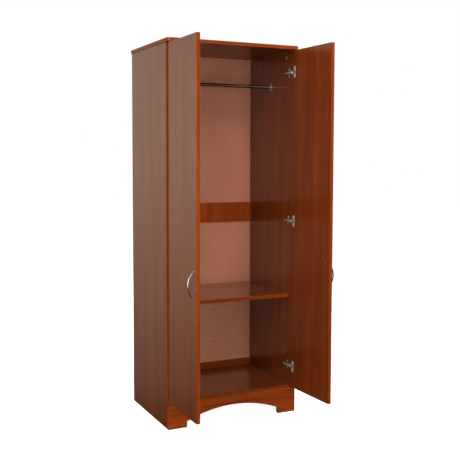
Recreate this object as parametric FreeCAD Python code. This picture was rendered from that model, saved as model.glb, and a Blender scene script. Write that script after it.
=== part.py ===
import FreeCAD, Part
import math
import os

# Two-door armoire in laminated board, shown with both doors open.
# Millimetres, +Z up, front towards -Y. The origin is on the floor, midway between the side
# panels and at the centre of the outline's depth with the doors open.

Vec = FreeCAD.Vector
AXIS_X = Vec(1, 0, 0)
AXIS_Y = Vec(0, 1, 0)
AXIS_Z = Vec(0, 0, 1)

# ---------------------------------------------------------------- driving dimensions
height = 1980.0
width = 740.0
side_depth = 530.0
front_y = -80.0
board = 18.0
band = 1.0
sheet = 3.0

top_side_overhang = 5.0
top_front_overhang = 38.0
top_corner_radius = 22.0

bottom_top_z = 144.0
shelf_top_z = 648.0
shelf_setback = 12.0

sheet_setback = 494.0
groove_depth = 6.0
groove_clearance = 0.15
sheet_hole_radius = 4.0
sheet_hole_x = 114.0
sheet_hole_heights = [302.0, 492.0]
plug_clearance = 0.1
plug_head_radius = 5.5
plug_head = 1.2
mid_rail_low_z = 1010.0
mid_rail_high_z = 1125.0
bottom_rail_low_z = 68.0
bottom_rail_high_z = 183.0

apron_thickness = 22.0
apron_height = 133.0
foot_inner_x = 267.0
foot_step_z = 32.0
arch_apex_z = 86.5

rod_radius = 9.5
rod_wall = 1.2
rod_setback = 240.0
rod_z = 1783.0

door_low_z = 138.0
door_high_z = 1958.0
door_reveal = 2.0
door_centre_gap = 3.0
door_gap = 4.5
left_open_angle = 90.0
right_open_angle = 92.7

handle_pitch = 128.0
handle_z = 792.0
handle_edge_inset = 34.5
handle_projection = 33.0
handle_bar_width = 10.0
handle_bar_thickness = 5.2
handle_foot_radius = 5.2

hinge_end_inset = 115.0
cup_radius = 17.5
cup_depth = 15.6
cup_floor = 0.5
cup_edge_distance = 22.5
pivot_edge_distance = 10.95
pivot_depth = 12.6
pivot_pin_radius = 1.25
pivot_eye_radius = 2.1
pivot_clearance = 0.05

cam_radius = 7.5
cam_depth = 13.2
cam_reach = 34.0
cam_dowel_radius = 3.5
wood_dowel_radius = 4.0
wood_dowel_length = 30.0
apron_dowel_heights = [40.0, 100.0]

# ---------------------------------------------------------------- derived places
rear_y = front_y + side_depth
half_width = width / 2
inner_x = half_width - board
top_low_z = height - board
sheet_y = front_y + sheet_setback
rail_y = sheet_y + sheet / 2 - board / 2
apron_y = front_y - apron_thickness
rod_y = front_y + rod_setback
shelf_front_y = front_y + shelf_setback
door_width = half_width - door_reveal - door_centre_gap / 2
door_hinge_x = -half_width + door_reveal
door_inner_y = front_y - door_gap
door_outer_y = door_inner_y - board
pivot_x = door_hinge_x + pivot_edge_distance
pivot_y = door_inner_y - pivot_depth
cup_x = door_hinge_x + cup_edge_distance
handle_x = door_hinge_x + door_width - handle_edge_inset
hinge_heights = [
    door_low_z + hinge_end_inset,
    (door_low_z + door_high_z) / 2,
    door_high_z - hinge_end_inset,
]

panels = {}


# ---------------------------------------------------------------- small helpers
def block(x0, x1, y0, y1, z0, z1):
    return Part.makeBox(x1 - x0, y1 - y0, z1 - z0, Vec(x0, y0, z0))


def rod_solid(radius, length, start, direction):
    return Part.makeCylinder(radius, length, start, direction)


def joined(shapes):
    whole = shapes[0]
    for shape in shapes[1:]:
        whole = whole.fuse(shape)
    return whole.removeSplitter()


def prism(points, low_z, high_z):
    """Solid between two heights on a closed outline of straight runs."""
    loop = [Vec(x, y, low_z) for x, y in points]
    face = Part.Face(Part.makePolygon(loop + [loop[0]]))
    return face.extrude(Vec(0, 0, high_z - low_z))


def save(node, shapes):
    shape = shapes if isinstance(shapes, Part.Shape) else Part.makeCompound(shapes)
    shape.exportStep("parts/" + node + ".step")


def cut_from(panel_names, tools):
    for name in panel_names:
        panels[name] = panels[name].cut(Part.makeCompound(tools))


def headed_screw(tip_to_head, length, head, shank_radius, head_radius, head_height):
    """Pan-head screw. head is the point under the head; the direction runs from tip to head."""
    direction = Vec(tip_to_head)
    shank = rod_solid(shank_radius, length, head - direction * length, direction)
    cap = rod_solid(head_radius, head_height, head, direction)
    crown = cap.makeFillet(head_height * 0.6, [edge_at(cap, head + direction * head_height)])
    return joined([shank, crown])


def edge_at(solid, centre):
    """The circular edge of a solid whose centre is at the given point."""
    circles = [edge for edge in solid.Edges if isinstance(edge.Curve, Part.Circle)]
    return min(circles, key=lambda edge: edge.Curve.Center.distanceToPoint(centre))


def mirrored(shape):
    return shape.mirror(Vec(0, 0, 0), AXIS_X)


# ---------------------------------------------------------------- carcass boards
def top_outline(offset):
    """The top's outline pulled in by offset at the front and the sides, front corners round."""
    half = half_width + top_side_overhang - offset
    front = front_y - top_front_overhang + offset
    radius = top_corner_radius - offset
    slant = radius * (1 - math.cos(math.pi / 4))
    left_arc = Part.Arc(
        Vec(-half, front + radius, top_low_z),
        Vec(-half + slant, front + slant, top_low_z),
        Vec(-half + radius, front, top_low_z),
    )
    right_arc = Part.Arc(
        Vec(half - radius, front, top_low_z),
        Vec(half - slant, front + slant, top_low_z),
        Vec(half, front + radius, top_low_z),
    )
    edges = [
        Part.makeLine(Vec(-half, rear_y, top_low_z), Vec(-half, front + radius, top_low_z)),
        left_arc.toShape(),
        Part.makeLine(Vec(-half + radius, front, top_low_z), Vec(half - radius, front, top_low_z)),
        right_arc.toShape(),
        Part.makeLine(Vec(half, front + radius, top_low_z), Vec(half, rear_y, top_low_z)),
        Part.makeLine(Vec(half, rear_y, top_low_z), Vec(-half, rear_y, top_low_z)),
    ]
    return Part.Face(Part.Wire(edges)).extrude(Vec(0, 0, board))


def make_carcass_boards():
    for side, low_x in (("left", -half_width), ("right", inner_x)):
        panels[side + "_side_panel"] = block(
            low_x, low_x + board, front_y + band, rear_y, 0, top_low_z
        )
    panels["top_panel"] = top_outline(band)
    panels["bottom_panel"] = block(
        -inner_x, inner_x, front_y + band, rail_y, bottom_top_z - board, bottom_top_z
    )
    panels["fixed_shelf"] = block(
        -inner_x, inner_x, shelf_front_y + band, sheet_y - 0.2, shelf_top_z - board, shelf_top_z
    )
    for name, low_z, high_z in (
        ("mid_back_rail", mid_rail_low_z, mid_rail_high_z),
        ("bottom_back_rail", bottom_rail_low_z, bottom_rail_high_z),
    ):
        panels[name] = block(-inner_x, inner_x, rail_y, rail_y + board, low_z, high_z)


def cut_sheet_grooves():
    """Grooves that hold the hardboard back in the sides, the top and the rails."""
    low_y = sheet_y - groove_clearance
    high_y = sheet_y + sheet + groove_clearance
    reach = groove_depth + groove_clearance
    groove_low_z = bottom_rail_high_z - reach
    side_groove = block(-inner_x - reach, inner_x + reach, low_y, high_y, groove_low_z, height)
    cut_from(["left_side_panel", "right_side_panel"], [side_groove])
    top_groove = block(-inner_x - reach, inner_x + reach, low_y, high_y, top_low_z, top_low_z + reach)
    cut_from(["top_panel"], [top_groove])
    rail_edges = {
        "mid_back_rail": [
            (mid_rail_low_z, mid_rail_low_z + reach),
            (mid_rail_high_z - reach, mid_rail_high_z),
        ],
        "bottom_back_rail": [(bottom_rail_high_z - reach, bottom_rail_high_z)],
    }
    for name, spans in rail_edges.items():
        grooves = [block(-inner_x, inner_x, low_y, high_y, low, high) for low, high in spans]
        cut_from([name], grooves)


def save_edge_bands():
    for side, low_x in (("left", -half_width), ("right", inner_x)):
        strip = block(low_x, low_x + board, front_y, front_y + band, 0, top_low_z)
        for dowel_z in apron_dowel_heights:
            centre = Vec(low_x + board / 2, front_y - 1, dowel_z)
            strip = strip.cut(rod_solid(wood_dowel_radius, band + 2, centre, AXIS_Y))
        save(side + "_side_edge_band", strip)
    save("top_edge_band", top_outline(0).cut(top_outline(band)))
    save(
        "bottom_panel_edge_band",
        block(-inner_x, inner_x, front_y, front_y + band, bottom_top_z - board, bottom_top_z),
    )
    save(
        "shelf_edge_band",
        block(-inner_x, inner_x, shelf_front_y, shelf_front_y + band, shelf_top_z - board, shelf_top_z),
    )


def save_back_sheets():
    reach = inner_x + groove_depth
    upper = block(
        -reach, reach, sheet_y, sheet_y + sheet, mid_rail_high_z - groove_depth, top_low_z + groove_depth
    )
    lower = block(
        -reach,
        reach,
        sheet_y,
        sheet_y + sheet,
        bottom_rail_high_z - groove_depth,
        mid_rail_low_z + groove_depth,
    )
    plugs = []
    for hole_z in sheet_hole_heights:
        front = Vec(sheet_hole_x, sheet_y, hole_z)
        lower = lower.cut(rod_solid(sheet_hole_radius, sheet, front, AXIS_Y))
        stem = rod_solid(sheet_hole_radius - plug_clearance, sheet, front, AXIS_Y)
        head = rod_solid(plug_head_radius, plug_head, front - Vec(0, plug_head, 0), AXIS_Y)
        plugs.append(joined([head, stem]))
    save("upper_back_panel", upper)
    save("lower_back_panel", lower)
    save("sheet_hole_plugs", plugs)


def make_apron():
    """Front apron with square feet and a shallow arch between them."""
    chord = foot_inner_x
    start = Vec(-chord, apron_y, foot_step_z)
    crown = Vec(0, apron_y, arch_apex_z)
    end = Vec(chord, apron_y, foot_step_z)
    top = apron_height - band
    corners = [
        Vec(chord, apron_y, 0),
        Vec(half_width, apron_y, 0),
        Vec(half_width, apron_y, top),
        Vec(-half_width, apron_y, top),
        Vec(-half_width, apron_y, 0),
        Vec(-chord, apron_y, 0),
    ]
    edges = [Part.Arc(start, crown, end).toShape(), Part.makeLine(end, corners[0])]
    edges += [Part.makeLine(a, b) for a, b in zip(corners, corners[1:])]
    edges.append(Part.makeLine(corners[-1], start))
    face = Part.Face(Part.Wire(edges))
    panels["front_apron"] = face.extrude(Vec(0, apron_thickness, 0))
    save(
        "apron_edge_band",
        block(-half_width, half_width, apron_y, front_y, top, apron_height),
    )


# ---------------------------------------------------------------- carcass fasteners
def cam_pair(centre, cam_axis, dowel_direction):
    """Cam housing let into a face, and the steel dowel that it pulls on."""
    cam = rod_solid(cam_radius, cam_depth, centre - cam_axis * cam_depth, cam_axis)
    middle = centre - cam_axis * (board / 2)
    dowel = rod_solid(cam_dowel_radius, cam_reach + 10, middle, dowel_direction)
    slot = rod_solid(cam_dowel_radius + 0.3, cam_radius + 1, middle, dowel_direction)
    screwdriver_slot = block(-5, 5, -0.8, 0.8, -1.5, 0)
    screwdriver_slot.Placement = FreeCAD.Placement(centre, FreeCAD.Rotation(AXIS_Z, cam_axis))
    return cam.cut(slot).cut(screwdriver_slot), dowel


def cam_places():
    """Cam centre, outward axis, dowel direction, and the two boards that each pair joins."""
    places = []
    for side, sign in (("left", -1), ("right", 1)):
        side_panel = side + "_side_panel"
        inward = Vec(-sign, 0, 0)
        outward = Vec(sign, 0, 0)
        for setback in (62.0, 437.0):
            centre = Vec(sign * inner_x, front_y + setback, top_low_z - cam_reach)
            places.append((centre, inward, AXIS_Z, side_panel, "top_panel"))
            for board_name, top_z in (("fixed_shelf", shelf_top_z), ("bottom_panel", bottom_top_z)):
                centre = Vec(sign * (inner_x - cam_reach), front_y + setback, top_z - board)
                places.append((centre, -AXIS_Z, outward, board_name, side_panel))
        for rail_name, low_z, high_z in (
            ("mid_back_rail", mid_rail_low_z, mid_rail_high_z),
            ("bottom_back_rail", bottom_rail_low_z, bottom_rail_high_z),
        ):
            centre = Vec(sign * (inner_x - cam_reach), rail_y + board, (low_z + high_z) / 2)
            places.append((centre, AXIS_Y, outward, rail_name, side_panel))
    return places


def save_cams():
    cams = []
    dowels = []
    caps = []
    for centre, cam_axis, dowel_direction, holder, other in cam_places():
        cam, dowel = cam_pair(centre, cam_axis, dowel_direction)
        pocket = rod_solid(cam_radius, cam_depth, centre - cam_axis * cam_depth, cam_axis)
        cut_from([holder], [pocket, dowel])
        cut_from([other], [dowel])
        cams.append(cam)
        dowels.append(dowel.cut(cam))
        if other == "top_panel":
            cap = rod_solid(cam_radius + 1.2, 0.9, centre, cam_axis)
            caps.append(cap.makeFillet(0.5, [edge_at(cap, centre + cam_axis * 0.9)]))
    save("cam_locks", cams)
    save("cam_dowels", dowels)
    save("cam_cover_caps", caps)


def save_wood_dowels():
    half = wood_dowel_length / 2
    dowels = []
    for side, sign in (("left", -1), ("right", 1)):
        side_panel = side + "_side_panel"
        centre_x = sign * (half_width - board / 2)
        for setback in (110.0, 385.0):
            start = Vec(centre_x, front_y + setback, top_low_z + board - 5 - wood_dowel_length)
            dowel = rod_solid(wood_dowel_radius, wood_dowel_length, start, AXIS_Z)
            cut_from([side_panel, "top_panel"], [dowel])
            dowels.append(dowel)
            for name, top_z in (("fixed_shelf", shelf_top_z), ("bottom_panel", bottom_top_z)):
                start = Vec(sign * (inner_x + 12), front_y + setback, top_z - board / 2)
                dowel = rod_solid(wood_dowel_radius, wood_dowel_length, start, Vec(-sign, 0, 0))
                cut_from([side_panel, name], [dowel])
                dowels.append(dowel)
        for dowel_z in apron_dowel_heights:
            start = Vec(centre_x, front_y - half, dowel_z)
            dowel = rod_solid(wood_dowel_radius, wood_dowel_length, start, AXIS_Y)
            cut_from([side_panel, "front_apron"], [dowel])
            dowels.append(dowel)
    save("wood_dowels", dowels)


def save_apron_blocks():
    """Plastic corner blocks that tie the apron to the underside of the bottom panel."""
    size = 22.0
    under_z = bottom_top_z - board
    blocks = []
    screws = []
    for centre_x in (-190.0, 0.0, 190.0):
        body = block(centre_x - 16, centre_x + 16, front_y, front_y + size, under_z - size, under_z)
        slope = prism([(0, 0), (size - 5, 0), (0, size - 5)], -17, 17)
        slope.rotate(Vec(0, 0, 0), AXIS_X, 90)
        slope.rotate(Vec(0, 0, 0), AXIS_Z, -90)
        slope.translate(Vec(centre_x, front_y + size, under_z - size))
        body = body.cut(slope)
        forward = headed_screw(
            AXIS_Y, 22.0, Vec(centre_x - 8, front_y + 5, under_z - 14), 1.75, 3.5, 2.0
        )
        upward = headed_screw(
            -AXIS_Z, 17.0, Vec(centre_x + 8, front_y + 14, under_z - 5), 1.75, 3.5, 2.0
        )
        pockets = [
            rod_solid(3.6, size, Vec(centre_x - 8, front_y + 5, under_z - 14), AXIS_Y),
            rod_solid(3.6, size, Vec(centre_x + 8, front_y + 14, under_z - 5), -AXIS_Z),
        ]
        body = body.cut(Part.makeCompound(pockets)).cut(Part.makeCompound([forward, upward]))
        cut_from(["front_apron"], [forward])
        cut_from(["bottom_panel"], [upward])
        blocks.append(body)
        screws += [forward, upward]
    save("apron_blocks", blocks)
    save("apron_block_screws", screws)


# ---------------------------------------------------------------- hanging rod
def save_hanging_rod():
    flange_thickness = 2.5
    collar_length = 12.0
    screw_offset = 15.5
    half_length = inner_x - flange_thickness - 0.5
    outer = rod_solid(rod_radius, 2 * half_length, Vec(-half_length, rod_y, rod_z), AXIS_X)
    bore = rod_solid(rod_radius - rod_wall, 2 * half_length, Vec(-half_length, rod_y, rod_z), AXIS_X)
    save("hanging_rod", outer.cut(bore))
    sockets = []
    screws = []
    for side, sign in (("left", -1), ("right", 1)):
        inward = Vec(-sign, 0, 0)
        wall = Vec(sign * inner_x, rod_y, rod_z)
        flange = rod_solid(15.5, flange_thickness, wall, inward)
        for lift in (-screw_offset, screw_offset):
            lug = rod_solid(6.5, flange_thickness, wall + AXIS_Z * lift, inward)
            flange = flange.fuse(lug)
        flange = joined([flange, rod_solid(rod_radius + 2.5, collar_length, wall, inward)])
        seat = rod_solid(rod_radius + 0.05, collar_length, wall + inward * flange_thickness, inward)
        flange = flange.cut(seat)
        for lift in (-screw_offset, screw_offset):
            head = wall + AXIS_Z * lift + inward * flange_thickness
            screw = headed_screw(inward, 15.0, head, 1.75, 3.6, 2.2)
            flange = flange.cut(screw)
            cut_from([side + "_side_panel"], [screw])
            screws.append(screw)
        sockets.append(flange)
    save("rod_sockets", sockets)
    save("rod_socket_screws", screws)


# ---------------------------------------------------------------- hinges, drawn on the left
def hinge_plate(hinge_z):
    """Mounting plate with two wings, fixed to the side panel's inner face."""
    wall = -inner_x
    centre_y = front_y + 28.0
    wing = block(wall, wall + 2.5, centre_y - 8, centre_y + 8, hinge_z - 18, hinge_z + 18)
    for lift in (-18, 18):
        wing = wing.fuse(rod_solid(8, 2.5, Vec(wall, centre_y, hinge_z + lift), AXIS_X))
    body = block(wall, wall + 9.4, front_y + 14, front_y + 56, hinge_z - 5.2, hinge_z + 5.2)
    return joined([wing, body])


def hinge_plate_screws(hinge_z):
    head_x = -inner_x + 2.5
    places = [Vec(head_x, front_y + 28.0, hinge_z + lift) for lift in (-16, 16)]
    return [headed_screw(AXIS_X, 15.0, place, 2.0, 4.0, 2.4) for place in places]


def hinge_arm(hinge_z):
    """Cranked arm: a channel over the plate, then a neck that reaches the pin in the cup."""
    web_low = -inner_x + 9.6
    web_high = -inner_x + 12.6
    half = 7.0
    rear = front_y + 58.0
    neck_back = pivot_y - 1.5
    outline = [
        (pivot_x, neck_back),
        (web_high - 3, neck_back),
        (web_high, neck_back + 3),
        (web_high, rear - 3),
        (web_high - 2, rear),
        (web_low, rear),
        (web_low, pivot_y + 1.5),
        (pivot_x, pivot_y + 1.5),
    ]
    neck = prism(outline, hinge_z - half, hinge_z + half)
    eye = rod_solid(pivot_eye_radius, 2 * half, Vec(pivot_x, pivot_y, hinge_z - half), AXIS_Z)
    cheeks = [
        block(-inner_x + 3, web_low, front_y + 10, rear, low_z, low_z + 1.5)
        for low_z in (hinge_z - half, hinge_z + half - 1.5)
    ]
    arm = joined([neck, eye] + cheeks)
    bore_radius = pivot_pin_radius + pivot_clearance
    bore = rod_solid(bore_radius, 2 * half, Vec(pivot_x, pivot_y, hinge_z - half), AXIS_Z)
    return arm.cut(bore)


def hinge_arm_screws(hinge_z):
    """Side-adjusting screw in front and fixing screw behind."""
    head_x = -inner_x + 12.6
    places = [Vec(head_x, front_y + setback, hinge_z) for setback in (22.0, 46.0)]
    return [headed_screw(AXIS_X, 9.0, place, 2.0, 3.8, 2.2) for place in places]


def hinge_cup(hinge_z):
    """Pressed cup with its flange, in the closed door's place."""
    centre = Vec(cup_x, door_inner_y, hinge_z)
    shell = rod_solid(cup_radius, cup_depth, centre, -AXIS_Y)
    rim = rod_solid(19.0, 1.2, centre, AXIS_Y)
    wing_x = cup_x + 9.5
    wing = block(wing_x - 7, wing_x + 7, door_inner_y, door_inner_y + 1.2, hinge_z - 24, hinge_z + 24)
    for lift in (-24, 24):
        end = rod_solid(7, 1.2, Vec(wing_x, door_inner_y, hinge_z + lift), AXIS_Y)
        wing = wing.fuse(end)
    cup = joined([shell, rim, wing])
    hollow = rod_solid(cup_radius - 1.2, cup_depth - cup_floor + 2, centre + AXIS_Y * 2, -AXIS_Y)
    throat = block(cup_x - 20, cup_x + 20, door_outer_y, door_inner_y + 2, hinge_z - 8.6, hinge_z + 8.6)
    cup = cup.cut(hollow.common(throat))
    return cup.cut(cup_pin(hinge_z))


def cup_pin(hinge_z):
    return rod_solid(pivot_pin_radius, 21.0, Vec(pivot_x, pivot_y, hinge_z - 10.5), AXIS_Z)


def cup_screws(hinge_z):
    places = [Vec(cup_x + 9.5, door_inner_y + 1.2, hinge_z + lift) for lift in (-22.5, 22.5)]
    return [headed_screw(AXIS_Y, 13.0, place, 1.75, 3.8, 1.4) for place in places]


def save_fixed_hinge_parts(side, place):
    plates = []
    plate_screws = []
    arms = []
    arm_screws = []
    for hinge_z in hinge_heights:
        wing_screws = hinge_plate_screws(hinge_z)
        channel_screws = hinge_arm_screws(hinge_z)
        tools = Part.makeCompound(wing_screws + channel_screws)
        plates.append(place(hinge_plate(hinge_z).cut(tools)))
        arms.append(place(hinge_arm(hinge_z).cut(tools)))
        plate_screws += [place(screw) for screw in wing_screws]
        arm_screws += [place(screw) for screw in channel_screws]
    cut_from([side + "_side_panel"], plate_screws)
    save(side + "_hinge_plates", plates)
    save(side + "_hinge_plate_screws", plate_screws)
    save(side + "_hinge_arms", arms)
    save(side + "_hinge_arm_screws", arm_screws)


# ---------------------------------------------------------------- doors, drawn closed on the left
def bow_handle():
    """Bow of elliptical section on two round feet, standing on the door's outer face."""
    centre_line = handle_projection - handle_bar_thickness / 2
    rise = centre_line - 2.0
    radius = ((handle_pitch / 2) ** 2 + rise ** 2) / (2 * rise)
    section = Part.Ellipse(Vec(0, 0, 0), handle_bar_width / 2, handle_bar_thickness / 2)
    face = Part.Face(Part.Wire([section.toShape()]))
    face.translate(Vec(handle_x, door_outer_y - centre_line, handle_z))
    hub = Vec(handle_x, door_outer_y - centre_line + radius, handle_z)
    sweep = math.degrees(math.asin(handle_pitch / 2 / radius)) + 3
    face.rotate(hub, AXIS_X, -sweep)
    bow = face.revolve(hub, AXIS_X, 2 * sweep)
    feet = [
        rod_solid(
            handle_foot_radius, 5.5, Vec(handle_x, door_outer_y, handle_z + lift), -AXIS_Y
        )
        for lift in (-handle_pitch / 2, handle_pitch / 2)
    ]
    behind = block(
        handle_x - 20, handle_x + 20, door_outer_y, door_outer_y + 60, handle_z - 100, handle_z + 100
    )
    return joined([bow] + feet).cut(behind)


def handle_screws():
    """Machine screws from the door's inner face into the handle's feet."""
    heads = [
        Vec(handle_x, door_inner_y, handle_z + lift) for lift in (-handle_pitch / 2, handle_pitch / 2)
    ]
    return [headed_screw(AXIS_Y, board + 4, head, 2.0, 4.2, 2.4) for head in heads]


def save_door(side, place):
    """Door board, its edge band, handle and hinge cups, swung open to the rest pose."""
    far_x = door_hinge_x + door_width
    outer = block(door_hinge_x, far_x, door_outer_y, door_inner_y, door_low_z, door_high_z)
    core = block(
        door_hinge_x + band,
        far_x - band,
        door_outer_y,
        door_inner_y,
        door_low_z + band,
        door_high_z - band,
    )
    screws = handle_screws()
    bores = [rod_solid(cup_radius, cup_depth, Vec(cup_x, door_inner_y, z), -AXIS_Y) for z in hinge_heights]
    cup_fixings = [screw for z in hinge_heights for screw in cup_screws(z)]
    cups = [hinge_cup(z).cut(Part.makeCompound(cup_fixings)) for z in hinge_heights]
    door = core.cut(Part.makeCompound(bores)).cut(Part.makeCompound(cup_fixings))
    door = door.cut(Part.makeCompound(screws))
    handle = bow_handle().cut(Part.makeCompound(screws))
    save(side + "_door", place(door))
    save(side + "_door_edge_band", place(outer.cut(core)))
    save(side + "_handle", place(handle))
    save(side + "_handle_screws", [place(screw) for screw in screws])
    save(side + "_hinge_cups", [place(cup) for cup in cups])
    save(side + "_cup_screws", [place(screw) for screw in cup_fixings])
    save(side + "_hinge_pins", [place(cup_pin(z)) for z in hinge_heights])


def opened(angle, flip):
    """Turns a piece of the closed left door to its rest angle, and flips it for the right."""

    def place(shape):
        moved = shape.copy()
        moved.rotate(Vec(pivot_x, pivot_y, 0), AXIS_Z, -angle)
        return mirrored(moved) if flip else moved

    return place


# ---------------------------------------------------------------- build
os.makedirs("parts", exist_ok=True)
make_carcass_boards()
make_apron()
cut_sheet_grooves()
save_edge_bands()
save_back_sheets()
save_cams()
save_wood_dowels()
save_apron_blocks()
save_hanging_rod()
save_fixed_hinge_parts("left", lambda shape: shape)
save_fixed_hinge_parts("right", mirrored)
save_door("left", opened(left_open_angle, False))
save_door("right", opened(right_open_angle, True))
for panel_name, panel in panels.items():
    save(panel_name, panel)
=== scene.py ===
import math

import bpy
from mathutils import Matrix, Vector


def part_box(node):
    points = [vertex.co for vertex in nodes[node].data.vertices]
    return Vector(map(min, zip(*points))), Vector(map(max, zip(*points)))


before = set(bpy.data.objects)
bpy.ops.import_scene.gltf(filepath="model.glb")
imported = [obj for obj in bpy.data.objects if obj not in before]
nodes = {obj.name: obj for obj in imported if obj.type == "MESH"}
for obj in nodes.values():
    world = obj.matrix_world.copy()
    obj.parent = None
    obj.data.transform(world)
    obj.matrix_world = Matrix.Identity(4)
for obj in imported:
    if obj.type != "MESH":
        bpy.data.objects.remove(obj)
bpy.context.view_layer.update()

# Camera, in metres and degrees, in the frame of the CAD model
CAMERA_PLACE = Vector((-1.780, -3.798, 1.3925))
CAMERA_YAW = math.radians(25.393)
CAMERA_PITCH = math.radians(-3.962)
CAMERA_ROLL = math.radians(0.137)
CAMERA_LENS = 61.81
CAMERA_SENSOR = 36.0
CAMERA_SHIFT_Y = -0.040

# Floor: half its width in metres, its paper, and its glow near the middle and further out
FLOOR_HALF = 14.0
FLOOR_DARK = (214, 214, 214)
FLOOR_LIGHT = (220, 220, 220)
FLOOR_ROUGHNESS = 0.9
FLOOR_GLOW_FROM, FLOOR_GLOW_TO = 0.8, 4.5
FLOOR_GLOW_NEAR, FLOOR_GLOW_FAR = 0.90, 1.0

# Height of the direction, from -1 below to 1 above, and the light of the surroundings there:
# plain in front and on the right, brighter and warmer behind on the left
FRONT_GLOW = [
    (-0.40, (0.00, 0.00, 0.00)), (-0.20, (0.09, 0.09, 0.09)), (-0.02, (0.22, 0.22, 0.22)),
    (0.10, (0.10, 0.10, 0.10)), (0.24, (0.00, 0.00, 0.00)),
]
REAR_GLOW = [
    (-0.34, (0.00, 0.00, 0.00)), (-0.305, (0.05, 0.04, 0.03)), (-0.28, (0.16, 0.13, 0.10)),
    (-0.20, (0.27, 0.21, 0.16)), (0.00, (0.54, 0.43, 0.32)), (0.18, (0.46, 0.45, 0.37)),
    (0.34, (0.20, 0.20, 0.16)), (0.48, (0.00, 0.00, 0.00)),
]
REAR_GLOW_TOWARDS = (-0.42, 0.91, 0.0)
REAR_GLOW_FROM, REAR_GLOW_TO = -0.2, 0.8
WHITE = (1.0, 1.0, 1.0, 1.0)

LIGHT_TARGET = Vector((0.0, 0.0, 1.0))
# Name, azimuth and elevation in degrees, distance and size in metres, power in watts
SOFTBOXES = [
    ("left_low", -75, 0, 4.6, 3.0, 80.0),
    ("left", -50, 0, 4.6, 1.6, 49.0),
    ("left_middle", -50, 20, 4.6, 1.6, 38.0),
    ("left_high", -50, 45, 4.6, 1.6, 30.0),
    ("key", -25, 20, 4.6, 1.6, 18.0),
    ("key_high", -25, 45, 4.6, 1.6, 20.0),
    ("front", 0, 0, 4.6, 1.6, 104.0),
    ("front_high", 0, 45, 4.6, 1.6, 50.0),
    ("right_middle", 50, 20, 4.6, 1.6, 16.0),
    ("right_high", 50, 45, 4.6, 1.6, 65.0),
    ("overhead", 0, 89, 3.0, 2.4, 57.0),
    ("left_rear", -130, 4, 4.6, 2.0, 17.0),
    ("right_glow", 80, 4, 4.6, 4.0, 40.0),
    ("right_side", 112, 8, 4.6, 2.0, 45.0),
    ("rear", 165, 12, 4.6, 2.0, 45.0),
]

# Lamps that light the boards without standing as a glare in their gloss
GLARE_FREE = ("left", "front", "right_side", "rear")

# Colours as they are read on a screen, 0 to 255
CHERRY_DARK = (74, 26, 4)
CHERRY_MID = (108, 43, 8)
CHERRY_LIGHT = (133, 60, 14)
# Painted light: a lighter copy of the cherry for the front-facing apron and rails, where the front
# lamps fall
LIT_FRONT_DARK = (100, 37, 7)
LIT_FRONT_MID = (134, 55, 12)
LIT_FRONT_LIGHT = (157, 71, 19)
BAND_DARK = (102, 35, 3)
BAND_MID = (126, 48, 5)
BAND_LIGHT = (143, 60, 9)
# Pale colour the arrises lighten towards: partly wear, partly a painted highlight
WORN_EDGE_AND_HIGHLIGHT = (205, 140, 98)
CHIPBOARD_DARK = (150, 112, 72)
CHIPBOARD_LIGHT = (206, 172, 124)
SHEET_DARK = (168, 108, 84)
SHEET_LIGHT = (186, 122, 96)
HARDBOARD_DARK = (96, 64, 40)
HARDBOARD_LIGHT = (138, 98, 64)
BEECH_DARK = (186, 142, 98)
BEECH_LIGHT = (222, 186, 142)
CAP_DARK = (140, 106, 72)
CAP_LIGHT = (182, 146, 106)
PLUG_DARK = (112, 60, 42)
PLUG_LIGHT = (142, 82, 60)

# Cherry grain: waves in a metre, across and along it
SWAY = (5.0, 1.4)
BROAD = (14.0, 0.6)
STREAK = (130.0, 1.8)
FINE = (420.0, 5.0)
PORE = (1500.0, 60.0)
FLECK = (70.0, 16.0)
# How far the grain sways, in metres, and how much of the figure each layer makes
SWAY_REACH = 0.03
BROAD_SHARE, STREAK_SHARE, FINE_SHARE = 0.26, 0.44, 0.30
FLECK_DARKENING = 0.55
PORE_DARKENING = 0.28

# Laminate: width in metres and share of the lightening along the arrises, partly wear and partly a
# painted highlight where the rounded arris catches the light, roughness and clear coat
BOARD_WEAR_AND_HIGHLIGHT, BAND_WEAR_AND_HIGHLIGHT = 0.0016, 0.0008
WEAR_AND_HIGHLIGHT_SHARE = 0.5
BOARD_ROUGHNESS, BAND_ROUGHNESS = 0.29, 0.36
STREAK_ROUGHNESS = 0.10
SMUDGE_ROUGHNESS = 0.08
UNDERCOAT_SPECULAR = 0.25
COAT_ROUGHNESS = 0.14
FULL_COAT, DULL_COAT, SIDE_BAND_COAT, BAND_COAT = 1.0, 0.4, 0.3, 0.15
COAT_IOR, SHELF_COAT_IOR = 1.6, 1.9
# Chipboard: how near its open edge, in metres, a point is part of it
RAW_DEPTH = 0.0003
RAW_ROUGHNESS = 0.85
# Back sheets: paint, its fibres, and the bare rear
SHEET_ROUGHNESS = 0.28
FIBRE_ROUGHNESS = 0.12
REAR_ROUGHNESS = 0.3
# Hinge metal: how dark the painted shade on its rear is, and half the width in metres over which it
# darkens
REAR_SHADE_SHARE = 0.8
REAR_SHADE_EDGE = 0.002


def linear(colour):
    """Screen colour, 0 to 255, as the shader wants it."""
    out = []
    for value in colour:
        c = value / 255
        out.append(c / 12.92 if c <= 0.04045 else ((c + 0.055) / 1.055) ** 2.4)
    return (*out, 1.0)


# Node helpers

def feed(tree, socket, value):
    """Links value if it is a socket, or sets it as the socket's own value."""
    if isinstance(value, bpy.types.NodeSocket):
        tree.links.new(value, socket)
    else:
        socket.default_value = value


def maths(tree, operation, first, second=0.0):
    node = tree.nodes.new("ShaderNodeMath")
    node.operation = operation
    feed(tree, node.inputs[0], first)
    feed(tree, node.inputs[1], second)
    return node.outputs[0]


def weighted(tree, *terms):
    """Sum of (value, weight) pairs."""
    total = None
    for value, weight in terms:
        part = maths(tree, "MULTIPLY", value, weight)
        total = part if total is None else maths(tree, "ADD", total, part)
    return total


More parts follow.
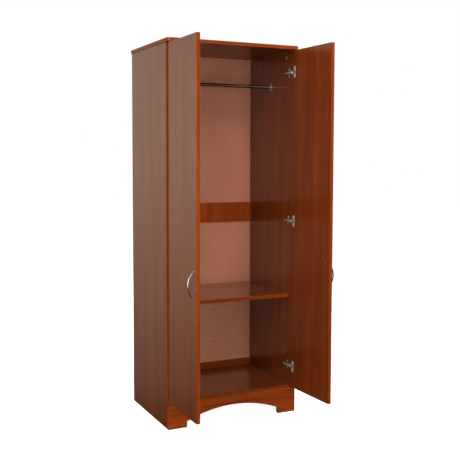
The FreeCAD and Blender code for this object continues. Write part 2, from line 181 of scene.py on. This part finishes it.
def mixed(tree, factor, first, second):
    node = tree.nodes.new("ShaderNodeMix")
    node.data_type = "RGBA"
    feed(tree, node.inputs[0], factor)
    feed(tree, node.inputs[6], first)
    feed(tree, node.inputs[7], second)
    return node.outputs[2]


def noise(tree, vector, scale, detail=2.0, roughness=0.5, distortion=0.0):
    node = tree.nodes.new("ShaderNodeTexNoise")
    feed(tree, node.inputs["Vector"], vector)
    node.inputs["Scale"].default_value = scale
    node.inputs["Detail"].default_value = detail
    node.inputs["Roughness"].default_value = roughness
    node.inputs["Distortion"].default_value = distortion
    return node.outputs["Fac"]


def stretched(tree, vector, scale, offset=(0.0, 0.0, 0.0)):
    node = tree.nodes.new("ShaderNodeMapping")
    feed(tree, node.inputs["Vector"], vector)
    node.inputs["Location"].default_value = offset
    node.inputs["Scale"].default_value = scale
    return node.outputs["Vector"]


def ramp(tree, factor, stops):
    """stops is a list of (position, screen colour)."""
    node = tree.nodes.new("ShaderNodeValToRGB")
    feed(tree, node.inputs["Fac"], factor)
    elements = node.color_ramp.elements
    while len(elements) < len(stops):
        elements.new(0.5)
    for element, (position, colour) in zip(elements, stops):
        element.position = position
        element.color = linear(colour)
    return node.outputs["Color"]


def ranged(tree, value, low, high, to_low=0.0, to_high=1.0):
    node = tree.nodes.new("ShaderNodeMapRange")
    node.interpolation_type = "SMOOTHSTEP"
    feed(tree, node.inputs["Value"], value)
    node.inputs["From Min"].default_value = low
    node.inputs["From Max"].default_value = high
    node.inputs["To Min"].default_value = to_low
    node.inputs["To Max"].default_value = to_high
    return node.outputs["Result"]


def object_vector(tree):
    return tree.nodes.new("ShaderNodeTexCoord").outputs["Object"]


def split(tree, vector):
    node = tree.nodes.new("ShaderNodeSeparateXYZ")
    feed(tree, node.inputs[0], vector)
    return node.outputs


def bumped(tree, height, strength, distance):
    node = tree.nodes.new("ShaderNodeBump")
    node.inputs["Strength"].default_value = strength
    node.inputs["Distance"].default_value = distance
    feed(tree, node.inputs["Height"], height)
    return node.outputs["Normal"]


def new_material(name):
    material = bpy.data.materials.new(name)
    material.use_nodes = True
    tree = material.node_tree
    shader = tree.nodes["Principled BSDF"]
    return material, tree, shader


def along(axis, across, lengthways):
    """A scale for each axis: lengthways on the grain's axis, across on the others."""
    scale = [across, across, across]
    scale["xyz".index(axis)] = lengthways
    return tuple(scale)


def edge_nearness(tree, vector, low, high, width):
    """1 at the arrises of the box from low to high, falling to 0 at width from them."""
    centre = [(a + b) / 2 for a, b in zip(low, high)]
    half = [(b - a) / 2 for a, b in zip(low, high)]
    distances = []
    for value, middle, size in zip(split(tree, vector), centre, half):
        off = maths(tree, "ABSOLUTE", maths(tree, "SUBTRACT", value, middle))
        distances.append(maths(tree, "ABSOLUTE", maths(tree, "SUBTRACT", size, off)))
    x, y, z = distances
    smaller = maths(tree, "MINIMUM", x, y)
    larger = maths(tree, "MAXIMUM", x, y)
    middle = maths(tree, "MAXIMUM", smaller, maths(tree, "MINIMUM", larger, z))
    return ranged(tree, middle, 0.0, width, 1.0, 0.0)


# Materials

def grain(tree, vector, axis, waves, offset, detail, roughness=0.5, distortion=0.0):
    """Noise drawn out along axis. waves is (across, along)."""
    drawn = stretched(tree, vector, along(axis, *waves), offset)
    return noise(tree, drawn, 1.0, detail, roughness, distortion)


def wood_figure(tree, vector, axis, seed, tones):
    """Colour, height and streaks of cherry grain running along axis."""
    offset = (seed * 3.7, seed * 5.3, seed * 2.9)
    sway = grain(tree, vector, axis, SWAY, offset, 1.0)
    sway = maths(tree, "MULTIPLY", maths(tree, "SUBTRACT", sway, 0.5), SWAY_REACH)
    shifted = tree.nodes.new("ShaderNodeVectorMath")
    shifted.operation = "ADD"
    feed(tree, shifted.inputs[0], vector)
    feed(tree, shifted.inputs[1], sway)
    vector = shifted.outputs[0]
    broad = grain(tree, vector, axis, BROAD, offset, 2.0)
    streak = grain(tree, vector, axis, STREAK, offset, 4.0, 0.66)
    fine = grain(tree, vector, axis, FINE, offset, 4.0, 0.7)
    pores = grain(tree, vector, axis, PORE, offset, 2.0)
    fleck = grain(tree, vector, axis, FLECK, offset, 2.0, 0.5, 0.4)
    figure = weighted(tree, (broad, BROAD_SHARE), (streak, STREAK_SHARE), (fine, FINE_SHARE))
    dark, mid, light = tones
    colour = ramp(tree, figure, [(0.35, dark), (0.50, mid), (0.65, light)])
    fleck = ranged(tree, fleck, 0.64, 0.74)
    colour = mixed(tree, maths(tree, "MULTIPLY", fleck, FLECK_DARKENING), colour, linear(dark))
    pores = ranged(tree, pores, 0.60, 0.72)
    colour = mixed(tree, maths(tree, "MULTIPLY", pores, PORE_DARKENING), colour, linear(dark))
    height = maths(tree, "SUBTRACT", fine, pores)
    return colour, height, streak


def chipboard(tree, vector):
    chips = tree.nodes.new("ShaderNodeTexVoronoi")
    feed(tree, chips.inputs["Vector"], vector)
    chips.inputs["Scale"].default_value = 420.0
    tone = split(tree, chips.outputs["Color"])[0]
    dust = noise(tree, vector, 900.0, 3.0)
    tone = maths(tree, "ADD", maths(tree, "MULTIPLY", tone, 0.7), dust)
    tone = maths(tree, "MULTIPLY", tone, 0.6)
    return ramp(tree, tone, [(0.15, CHIPBOARD_DARK), (0.85, CHIPBOARD_LIGHT)])


def board(node, axis, seed, tones, raw=(), wear_and_highlight=BOARD_WEAR_AND_HIGHLIGHT, roughness=BOARD_ROUGHNESS,
          coat=FULL_COAT, coat_ior=COAT_IOR):
    """Laminated board. raw lists (axis, place, side) of the edges where the chipboard shows."""
    material, tree, shader = new_material(node + "_laminate")
    vector = object_vector(tree)
    colour, height, streak = wood_figure(tree, vector, axis, seed, tones)
    low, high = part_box(node)
    edge = edge_nearness(tree, vector, low, high, wear_and_highlight)
    rub_and_highlight = ranged(tree, noise(tree, vector, 38.0, 3.0), 0.42, 0.68)
    # The arrises lighten: partly wear, partly a painted highlight where their rounding would catch
    # the light
    worn_and_highlit = maths(tree, "MULTIPLY", maths(tree, "MULTIPLY", edge, rub_and_highlight), WEAR_AND_HIGHLIGHT_SHARE)
    colour = mixed(tree, worn_and_highlit, colour, linear(WORN_EDGE_AND_HIGHLIGHT))
    smudge = stretched(tree, vector, (5.0, 5.0, 3.0), (seed, seed, seed))
    smudge = noise(tree, smudge, 1.0, 3.0)
    rough = maths(tree, "ADD", maths(tree, "MULTIPLY", streak, STREAK_ROUGHNESS), roughness)
    rough = maths(tree, "ADD", rough, maths(tree, "MULTIPLY", smudge, SMUDGE_ROUGHNESS))
    if raw:
        chips = chipboard(tree, vector)
        places = split(tree, vector)
        for name, place, side in raw:
            reach = maths(tree, "SUBTRACT", places["xyz".index(name)], place)
            reach = maths(tree, "MULTIPLY", reach, side)
            bare = maths(tree, "GREATER_THAN", reach, -RAW_DEPTH)
            colour = mixed(tree, bare, colour, chips)
            rough = maths(tree, "MAXIMUM", rough, maths(tree, "MULTIPLY", bare, RAW_ROUGHNESS))
    feed(tree, shader.inputs["Base Color"], colour)
    feed(tree, shader.inputs["Roughness"], rough)
    feed(tree, shader.inputs["Normal"], bumped(tree, height, 0.25, 0.0002))
    shader.inputs["Specular IOR Level"].default_value = UNDERCOAT_SPECULAR * coat
    shader.inputs["Coat Weight"].default_value = coat
    shader.inputs["Coat Roughness"].default_value = COAT_ROUGHNESS
    shader.inputs["Coat IOR"].default_value = coat_ior
    return material


def back_sheet(node, seed):
    """Thin hardboard, painted on the inside and bare fibre behind."""
    material, tree, shader = new_material(node + "_sheet")
    vector = object_vector(tree)
    low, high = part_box(node)
    cloud = noise(tree, stretched(tree, vector, (3.0, 3.0, 1.6), (seed, 0.0, seed)), 1.0, 3.0)
    fibre = noise(tree, vector, 900.0, 4.0, 0.7)
    speck = noise(tree, stretched(tree, vector, (260.0, 260.0, 120.0)), 1.0, 2.0)
    tone = weighted(tree, (cloud, 0.6), (fibre, 0.25), (speck, 0.15))
    painted = ramp(tree, tone, [(0.36, SHEET_DARK), (0.64, SHEET_LIGHT)])
    weave = noise(tree, stretched(tree, vector, (700.0, 700.0, 420.0)), 1.0, 4.0, 0.75)
    bare_tone = weighted(tree, (cloud, 0.5), (weave, 0.5))
    bare = ramp(tree, bare_tone, [(0.34, HARDBOARD_DARK), (0.66, HARDBOARD_LIGHT)])
    middle = (low.y + high.y) / 2
    behind = maths(tree, "GREATER_THAN", split(tree, vector)[1], middle)
    feed(tree, shader.inputs["Base Color"], mixed(tree, behind, painted, bare))
    rough = maths(tree, "ADD", maths(tree, "MULTIPLY", fibre, FIBRE_ROUGHNESS), SHEET_ROUGHNESS)
    rough = maths(tree, "ADD", rough, maths(tree, "MULTIPLY", behind, REAR_ROUGHNESS))
    feed(tree, shader.inputs["Roughness"], rough)
    feed(tree, shader.inputs["Normal"], bumped(tree, fibre, 0.2, 0.0002))
    return material


def metal(name, tones, rough_low, rough_high, brush_axis=None, metallic=1.0, rear_shade=None):
    """Plated metal with fine polishing marks and a little tarnish.

    The last argument, (place, colour), paints shade: the metal is of that darker colour further back
    than place, standing in for the dark inside of the cabinet that it reflects.
    """
    material, tree, shader = new_material(name)
    vector = object_vector(tree)
    cloud = noise(tree, vector, 60.0, 3.0)
    scale = along(brush_axis, 4000.0, 160.0) if brush_axis else (900.0, 900.0, 900.0)
    marks = noise(tree, stretched(tree, vector, scale), 1.0, 3.0, 0.6)
    tone = weighted(tree, (cloud, 0.7), (marks, 0.3))
    colour = ramp(tree, tone, [(0.3, tones[0]), (0.7, tones[1])])
    # Painted shade: the part darkens further back, deeper in the dark cabinet
    if rear_shade:
        place, shade = rear_shade
        behind = ranged(tree, split(tree, vector)[1], place - REAR_SHADE_EDGE, place + REAR_SHADE_EDGE)
        colour = mixed(tree, behind, colour, mixed(tree, REAR_SHADE_SHARE, colour, linear(shade)))
    feed(tree, shader.inputs["Base Color"], colour)
    shader.inputs["Metallic"].default_value = metallic
    feed(tree, shader.inputs["Roughness"], ranged(tree, tone, 0.3, 0.7, rough_high, rough_low))
    feed(tree, shader.inputs["Normal"], bumped(tree, marks, 0.08, 0.0001))
    return material


def plastic(name, dark, light):
    material, tree, shader = new_material(name)
    vector = object_vector(tree)
    cloud = noise(tree, vector, 90.0, 3.0)
    pitting = noise(tree, vector, 2600.0, 2.0)
    tone = weighted(tree, (cloud, 0.7), (pitting, 0.3))
    feed(tree, shader.inputs["Base Color"], ramp(tree, tone, [(0.3, dark), (0.7, light)]))
    feed(tree, shader.inputs["Roughness"], ranged(tree, pitting, 0.3, 0.7, 0.36, 0.52))
    feed(tree, shader.inputs["Normal"], bumped(tree, pitting, 0.15, 0.0001))
    return material


def bare_wood(name, axis, dark, light):
    material, tree, shader = new_material(name)
    vector = object_vector(tree)
    fibre = noise(tree, stretched(tree, vector, along(axis, 900.0, 60.0)), 1.0, 4.0, 0.6)
    feed(tree, shader.inputs["Base Color"], ramp(tree, fibre, [(0.35, dark), (0.65, light)]))
    feed(tree, shader.inputs["Roughness"], ranged(tree, fibre, 0.3, 0.7, 0.55, 0.75))
    feed(tree, shader.inputs["Normal"], bumped(tree, fibre, 0.3, 0.0002))
    return material


def dress(name, material):
    """Gives a CAD node its material."""
    for slot in nodes[name].material_slots:
        slot.material = material


CHERRY = (CHERRY_DARK, CHERRY_MID, CHERRY_LIGHT)
# Painted light: the lit copy of the cherry, for the parts that face the front lamps
LIT_FRONT = (LIT_FRONT_DARK, LIT_FRONT_MID, LIT_FRONT_LIGHT)
BAND = (BAND_DARK, BAND_MID, BAND_LIGHT)

SIDE_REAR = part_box("left_side_panel")[1].y
SIDE_RAW = [("y", SIDE_REAR, 1), ("z", 0.0, -1)]
# Name, grain axis, tones, edges where the chipboard shows, coat, index of refraction of the coat
BOARDS = [
    ("left_side_panel", "z", CHERRY, SIDE_RAW, FULL_COAT, COAT_IOR),
    ("right_side_panel", "z", CHERRY, SIDE_RAW, FULL_COAT, COAT_IOR),
    ("top_panel", "x", CHERRY, [("y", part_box("top_panel")[1].y, 1)], DULL_COAT, COAT_IOR),
    ("bottom_panel", "x", CHERRY, [("y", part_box("bottom_panel")[1].y, 1)], FULL_COAT, COAT_IOR),
    ("fixed_shelf", "x", CHERRY, [("y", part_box("fixed_shelf")[1].y, 1)], FULL_COAT, SHELF_COAT_IOR),
    ("front_apron", "x", LIT_FRONT, [], DULL_COAT, COAT_IOR),
    ("mid_back_rail", "z", LIT_FRONT, [], DULL_COAT, COAT_IOR),
    ("bottom_back_rail", "x", CHERRY, [], DULL_COAT, COAT_IOR),
    ("left_door", "z", CHERRY, [], FULL_COAT, COAT_IOR),
    ("right_door", "z", CHERRY, [], FULL_COAT, COAT_IOR),
]
FIRST_BOARD_SEED = 1
# Name, grain axis, tones, coat
BANDS = [
    ("left_side_edge_band", "z", BAND, SIDE_BAND_COAT),
    ("right_side_edge_band", "z", BAND, BAND_COAT),
    ("top_edge_band", "x", BAND, DULL_COAT),
    ("bottom_panel_edge_band", "x", CHERRY, BAND_COAT),
    ("shelf_edge_band", "x", BAND, BAND_COAT),
    ("apron_edge_band", "x", LIT_FRONT, FULL_COAT),
    ("left_door_edge_band", "z", BAND, BAND_COAT),
    ("right_door_edge_band", "z", BAND, BAND_COAT),
]
FIRST_BAND_SEED = 21
for seed, (name, axis, tones, raw, coat, coat_ior) in enumerate(BOARDS, FIRST_BOARD_SEED):
    dress(name, board(name, axis, seed, tones, raw, coat=coat, coat_ior=coat_ior))
for seed, (name, axis, tones, coat) in enumerate(BANDS, FIRST_BAND_SEED):
    dress(name, board(name, axis, seed, tones, wear_and_highlight=BAND_WEAR_AND_HIGHLIGHT, roughness=BAND_ROUGHNESS, coat=coat))
for seed, name in enumerate(("upper_back_panel", "lower_back_panel"), 1):
    dress(name, back_sheet(name, float(seed)))

# Dark and light tone, then lowest and highest roughness
chrome = metal("chrome", ((208, 208, 206), (234, 234, 232)), 0.13, 0.21)
# Painted shade: a darker copy of the chrome for the rod, which reflects the dark inside of the
# cabinet
shaded_rod_chrome = metal("shaded_rod_chrome", ((174, 171, 167), (206, 203, 199)), 0.05, 0.10)
socket_metal = metal("socket_metal", ((164, 161, 156), (212, 209, 203)), 0.22, 0.34, metallic=0.8)
# Painted shade: the hinge plates take a darker copy of the nickel
shaded_plate_nickel = metal("shaded_plate_nickel", ((118, 123, 112), (168, 172, 160)), 0.24, 0.36,
                     brush_axis="x", metallic=0.85)
# Painted shade on the rear of the hinge arms and cups
rear_shaded_arm_nickel = metal("rear_shaded_arm_nickel", ((168, 169, 160), (196, 197, 188)), 0.42, 0.52,
                   brush_axis="y", metallic=0.7, rear_shade=(-0.062, (92, 98, 88)))
# Painted highlight: the cups take a lighter copy of the nickel, for their bright flange
lit_and_shaded_cup_nickel = metal("lit_and_shaded_cup_nickel", ((206, 203, 195), (236, 233, 225)), 0.30, 0.42,
                   brush_axis="z", metallic=0.6, rear_shade=(-0.1108, (58, 62, 54)))
zinc = metal("zinc", ((128, 128, 128), (168, 168, 166)), 0.34, 0.5)
zinc_screws = metal("zinc_screws", ((186, 184, 176), (226, 224, 216)), 0.24, 0.4, metallic=0.7)
beech = bare_wood("beech", "x", BEECH_DARK, BEECH_LIGHT)
cap_plastic = plastic("cap_plastic", CAP_DARK, CAP_LIGHT)
brown_plastic = plastic("brown_plastic", PLUG_DARK, PLUG_LIGHT)
HARDWARE = {
    chrome: ["left_handle", "right_handle"],
    shaded_rod_chrome: ["hanging_rod"],
    socket_metal: ["rod_sockets"],
    shaded_plate_nickel: [
        "left_hinge_plates", "right_hinge_plates", "left_hinge_pins", "right_hinge_pins",
    ],
    rear_shaded_arm_nickel: ["left_hinge_arms", "right_hinge_arms"],
    lit_and_shaded_cup_nickel: ["left_hinge_cups", "right_hinge_cups"],
    zinc: ["cam_locks", "left_handle_screws", "right_handle_screws"],
    zinc_screws: [
        "cam_dowels", "apron_block_screws", "rod_socket_screws",
        "left_hinge_plate_screws", "right_hinge_plate_screws",
        "left_hinge_arm_screws", "right_hinge_arm_screws",
        "left_cup_screws", "right_cup_screws",
    ],
    beech: ["wood_dowels"],
    cap_plastic: ["cam_cover_caps"],
    brown_plastic: ["apron_blocks", "sheet_hole_plugs"],
}
for material, names in HARDWARE.items():
    for name in names:
        dress(name, material)


# Floor, light and camera

def make_floor():
    mesh = bpy.data.meshes.new("floor")
    signs = ((-1, -1), (1, -1), (1, 1), (-1, 1))
    corners = [(x * FLOOR_HALF, y * FLOOR_HALF, 0.0) for x, y in signs]
    mesh.from_pydata(corners, [], [(0, 1, 2, 3)])
    floor = bpy.data.objects.new("floor", mesh)
    bpy.context.scene.collection.objects.link(floor)
    material, tree, shader = new_material("floor_paper")
    vector = object_vector(tree)
    cloud = noise(tree, vector, 0.8, 2.0)
    paper = ramp(tree, cloud, [(0.3, FLOOR_DARK), (0.7, FLOOR_LIGHT)])
    feed(tree, shader.inputs["Base Color"], paper)
    shader.inputs["Roughness"].default_value = FLOOR_ROUGHNESS
    shader.inputs["Specular IOR Level"].default_value = 0.0
    shader.inputs["Emission Color"].default_value = WHITE
    reach = tree.nodes.new("ShaderNodeVectorMath")
    reach.operation = "LENGTH"
    feed(tree, reach.inputs[0], vector)
    glow = ranged(tree, reach.outputs["Value"], FLOOR_GLOW_FROM, FLOOR_GLOW_TO,
                  FLOOR_GLOW_NEAR, FLOOR_GLOW_FAR)
    feed(tree, shader.inputs["Emission Strength"], glow)
    mesh.materials.append(material)
    floor.visible_glossy = False
    floor.visible_diffuse = False


def glow_ramp(tree, height, stops):
    """stops is a list of (height of the direction, light)."""
    node = tree.nodes.new("ShaderNodeValToRGB")
    feed(tree, node.inputs["Fac"], maths(tree, "MULTIPLY", maths(tree, "ADD", height, 1.0), 0.5))
    elements = node.color_ramp.elements
    while len(elements) < len(stops):
        elements.new(0.5)
    for element, (rise, light) in zip(elements, stops):
        element.position = (rise + 1.0) / 2
        element.color = (*light, 1.0)
    return node.outputs["Color"]


def make_world():
    """Plain studio surroundings: white to look at, and a soft glow as light."""
    world = bpy.data.worlds.new("studio")
    bpy.context.scene.world = world
    world.use_nodes = True
    tree = world.node_tree
    background = tree.nodes["Background"]
    direction = tree.nodes.new("ShaderNodeTexCoord").outputs["Generated"]
    height = split(tree, direction)[2]
    facing = tree.nodes.new("ShaderNodeVectorMath")
    facing.operation = "DOT_PRODUCT"
    feed(tree, facing.inputs[0], direction)
    feed(tree, facing.inputs[1], REAR_GLOW_TOWARDS)
    rear = ranged(tree, facing.outputs["Value"], REAR_GLOW_FROM, REAR_GLOW_TO)
    front_glow = glow_ramp(tree, height, FRONT_GLOW)
    glow = mixed(tree, rear, front_glow, glow_ramp(tree, height, REAR_GLOW))
    seen = tree.nodes.new("ShaderNodeLightPath").outputs["Is Camera Ray"]
    feed(tree, background.inputs["Color"], mixed(tree, seen, glow, WHITE))
    background.inputs["Strength"].default_value = 1.0


def softbox(name, azimuth, elevation, distance, size, power):
    """A square lamp that faces the middle of the object. Azimuth 0 is in front, 90 on the right."""
    turn, rise = math.radians(azimuth), math.radians(elevation)
    level = math.cos(rise)
    towards = Vector((math.sin(turn) * level, -math.cos(turn) * level, math.sin(rise)))
    lamp = bpy.data.lights.new(name, "AREA")
    lamp.shape = "SQUARE"
    lamp.size = size
    lamp.energy = power
    holder = bpy.data.objects.new(name, lamp)
    bpy.context.scene.collection.objects.link(holder)
    holder.location = LIGHT_TARGET + towards * distance
    holder.rotation_mode = "QUATERNION"
    holder.rotation_quaternion = (-towards).to_track_quat("-Z", "Y")
    holder.visible_camera = False
    holder.visible_glossy = name not in GLARE_FREE


def make_camera():
    sine, cosine = math.sin(CAMERA_YAW), math.cos(CAMERA_YAW)
    forward = Vector((sine, cosine, math.tan(CAMERA_PITCH))).normalized()
    level = Vector((cosine, -sine, 0.0))
    upright = level.cross(forward)
    right = math.cos(CAMERA_ROLL) * level + math.sin(CAMERA_ROLL) * upright
    up = math.cos(CAMERA_ROLL) * upright - math.sin(CAMERA_ROLL) * level
    turn = Matrix((right, up, -forward)).transposed()
    lens = bpy.data.cameras.new("camera")
    lens.lens = CAMERA_LENS
    lens.sensor_width = CAMERA_SENSOR
    lens.shift_y = CAMERA_SHIFT_Y
    camera = bpy.data.objects.new("camera", lens)
    bpy.context.scene.collection.objects.link(camera)
    camera.matrix_world = Matrix.Translation(CAMERA_PLACE) @ turn.to_4x4()
    bpy.context.scene.camera = camera


make_floor()
make_world()
for lamp in SOFTBOXES:
    softbox(*lamp)
make_camera()
bpy.context.scene.view_settings.view_transform = "Standard"
